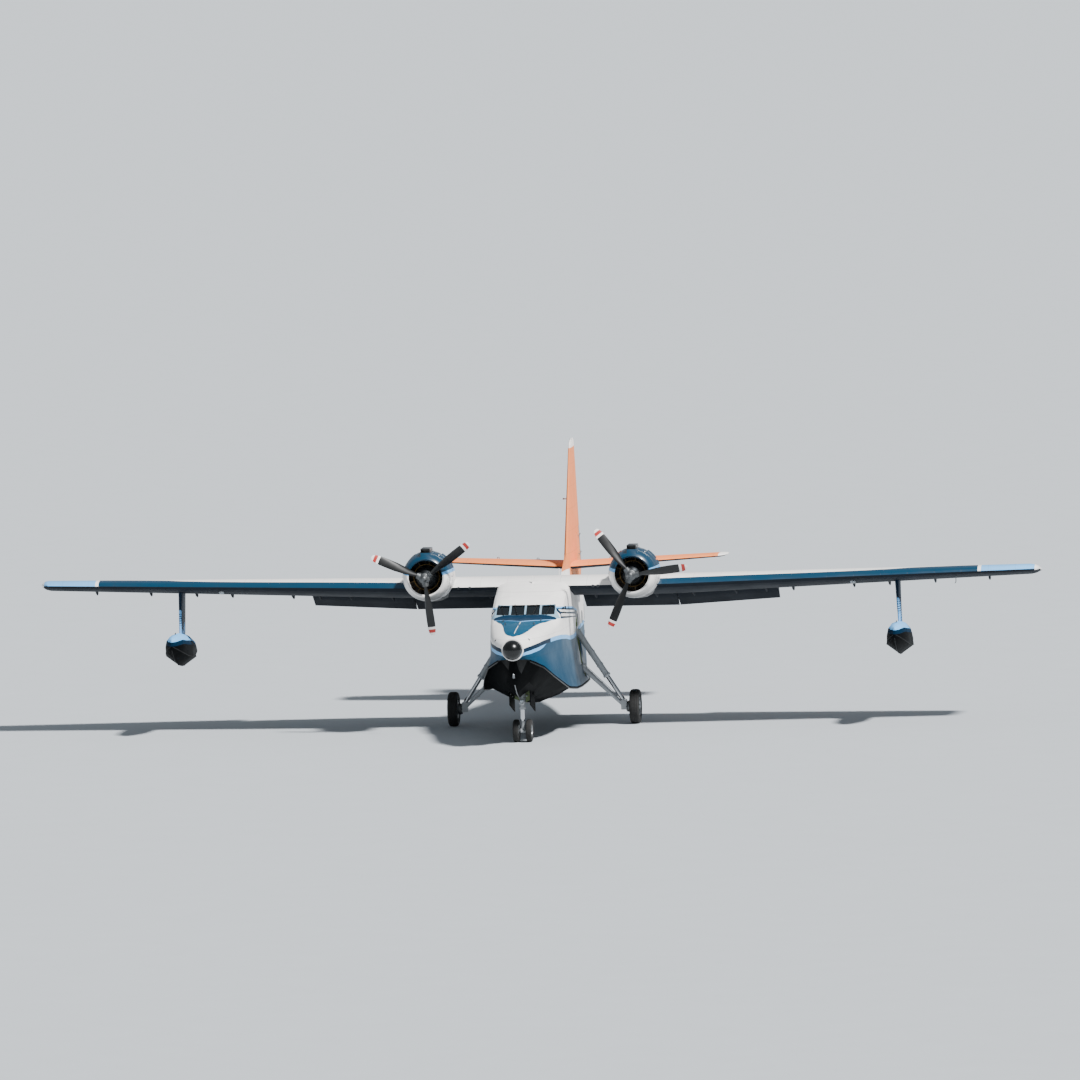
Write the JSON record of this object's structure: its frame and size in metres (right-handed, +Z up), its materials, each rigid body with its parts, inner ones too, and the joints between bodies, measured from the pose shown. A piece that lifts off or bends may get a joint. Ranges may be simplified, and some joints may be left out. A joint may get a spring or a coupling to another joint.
{
  "type": "twin-engined amphibious flying boat",
  "caption": "High-wing amphibious flying boat with two radial engines, wing floats, a stepped hull, wheels, and moving control surfaces.",
  "frame": {"origin": "on the ground under the middle of the aircraft's length and span", "axes": "+Z up, -Y towards the nose, +X towards the port wing tip"},
  "size_m": [29.46, 19.15, 7.87],
  "materials": {
    "hull_paint": "gloss",
    "white_paint": "gloss",
    "orange_paint": "gloss",
    "pale_blue_paint": "gloss",
    "black_paint": "gloss",
    "glazing": "clear",
    "gear_metal": "satin",
    "engine_metal": "satin",
    "wheel_metal": "satin",
    "tyre": "matt",
    "seat_fabric": "matt",
    "panel": "matt"
  },
  "bodies": {
    "airframe": {"bow_hull": "hull_paint", "cabin_hull": "hull_paint", "tail_hull": "hull_paint", "nose_radome": "black_paint", "cockpit_glass": "glazing", "seat_left": "seat_fabric", "seat_right": "seat_fabric", "instrument_panel": "panel", "control_columns": "panel", "wing_centre": "white_paint", "wing_left": "white_paint", "wing_right": "white_paint", "nacelle_left": "white_paint", "nacelle_right": "white_paint", "cowling_left": "hull_paint", "cowling_right": "hull_paint", "engine_left": "engine_metal", "engine_right": "engine_metal", "fin": "orange_paint", "stabilizer": "orange_paint", "float_left": "pale_blue_paint", "float_right": "pale_blue_paint", "float_strut_left": "hull_paint", "float_strut_right": "hull_paint", "gear_arm_left": "gear_metal", "gear_arm_right": "gear_metal", "gear_leg_left": "gear_metal", "gear_leg_right": "gear_metal", "nose_gear_leg": "gear_metal", "nose_gear_door_left": "hull_paint", "nose_gear_door_right": "hull_paint"},
    "propeller_left": {"propeller_left": "black_paint"},
    "main_wheel_left": {"main_tyre_left": "tyre", "main_hub_left": "wheel_metal"},
    "propeller_right": {"propeller_right": "black_paint"},
    "main_wheel_right": {"main_tyre_right": "tyre", "main_hub_right": "wheel_metal"},
    "nose_fork": {"nose_gear_fork": "gear_metal"},
    "nose_wheels": {"nose_wheel_axle": "wheel_metal", "nose_tyre_left": "tyre", "nose_tyre_right": "tyre"},
    "flap_inner_left": {"flap_inner_left": "hull_paint"},
    "flap_inner_right": {"flap_inner_right": "hull_paint"},
    "flap_outer_left": {"flap_outer_left": "hull_paint"},
    "flap_outer_right": {"flap_outer_right": "hull_paint"},
    "aileron_left": {"aileron_left": "white_paint"},
    "aileron_right": {"aileron_right": "white_paint"},
    "elevator_left": {"elevator_left": "orange_paint"},
    "elevator_right": {"elevator_right": "orange_paint"},
    "rudder": {"rudder": "orange_paint"},
    "cabin_door": {"cabin_door": "hull_paint"}
  },
  "joints": [
    {"name": "propeller_left_spin", "type": "hinge", "parent": "airframe", "child": "propeller_left", "pos_m": [3.02, -4.875, 4.635], "axis": [0, 1, 0], "continuous": true},
    {"name": "propeller_right_spin", "type": "hinge", "parent": "airframe", "child": "propeller_right", "pos_m": [-3.02, -4.875, 4.635], "axis": [0, 1, 0], "continuous": true},
    {"name": "main_wheel_left_spin", "type": "hinge", "parent": "airframe", "child": "main_wheel_left", "pos_m": [2.69, -1.325, 0.508], "axis": [1, 0, 0], "continuous": true},
    {"name": "main_wheel_right_spin", "type": "hinge", "parent": "airframe", "child": "main_wheel_right", "pos_m": [-2.69, -1.325, 0.508], "axis": [1, 0, 0], "continuous": true},
    {"name": "nose_steering", "type": "hinge", "parent": "airframe", "child": "nose_fork", "pos_m": [0, -7.025, 0.9], "axis": [0, 0, 1], "range_deg": [-45, 45]},
    {"name": "nose_wheel_spin", "type": "hinge", "parent": "nose_fork", "child": "nose_wheels", "pos_m": [0, -7.025, 0.33], "axis": [1, 0, 0], "continuous": true},
    {"name": "flap_inner_left_hinge", "type": "hinge", "parent": "airframe", "child": "flap_inner_left", "pos_m": [2.50375, -0.37234, 3.92445], "axis": [-1, 0, 0], "range_deg": [-20, 20]},
    {"name": "flap_inner_right_hinge", "type": "hinge", "parent": "airframe", "child": "flap_inner_right", "pos_m": [-2.50375, -0.37234, 3.92445], "axis": [-1, 0, 0], "range_deg": [-20, 20]},
    {"name": "flap_outer_left_hinge", "type": "hinge", "parent": "airframe", "child": "flap_outer_left", "pos_m": [5.40625, -0.4837, 3.97581], "axis": [-0.9967, 0.0737, -0.034], "range_deg": [-20, 20]},
    {"name": "flap_outer_right_hinge", "type": "hinge", "parent": "airframe", "child": "flap_outer_right", "pos_m": [-5.40625, -0.4837, 3.97581], "axis": [-0.9967, -0.0737, 0.034], "range_deg": [-20, 20]},
    {"name": "aileron_left_hinge", "type": "hinge", "parent": "airframe", "child": "aileron_left", "pos_m": [10.235, -0.84068, 4.14047], "axis": [-0.9967, 0.0737, -0.034], "range_deg": [-20, 20]},
    {"name": "aileron_right_hinge", "type": "hinge", "parent": "airframe", "child": "aileron_right", "pos_m": [-10.235, -0.84068, 4.14047], "axis": [-0.9967, -0.0737, 0.034], "range_deg": [-20, 20]},
    {"name": "elevator_left_hinge", "type": "hinge", "parent": "airframe", "child": "elevator_left", "pos_m": [2.38, 7.28688, 4.24808], "axis": [-0.999, 0.0009, -0.0454], "range_deg": [-30, 20]},
    {"name": "elevator_right_hinge", "type": "hinge", "parent": "airframe", "child": "elevator_right", "pos_m": [-2.38, 7.28688, 4.24808], "axis": [-0.999, -0.0009, 0.0454], "range_deg": [-30, 20]},
    {"name": "rudder_hinge", "type": "hinge", "parent": "airframe", "child": "rudder", "pos_m": [0, 7.775, 5.5], "axis": [0, 0, 1], "range_deg": [-25, 25]},
    {"name": "cabin_door_hinge", "type": "hinge", "parent": "airframe", "child": "cabin_door", "pos_m": [0.782, 2.643, 2.8], "axis": [0, 0, -1], "range_deg": [0, 90]}
  ],
  "couplings": [
    {"joint": "flap_inner_right_hinge", "follows": "flap_inner_left_hinge", "ratio": 1},
    {"joint": "flap_outer_left_hinge", "follows": "flap_inner_left_hinge", "ratio": 1},
    {"joint": "flap_outer_right_hinge", "follows": "flap_inner_left_hinge", "ratio": 1},
    {"joint": "aileron_right_hinge", "follows": "aileron_left_hinge", "ratio": -1},
    {"joint": "elevator_right_hinge", "follows": "elevator_left_hinge", "ratio": 1}
  ]
}
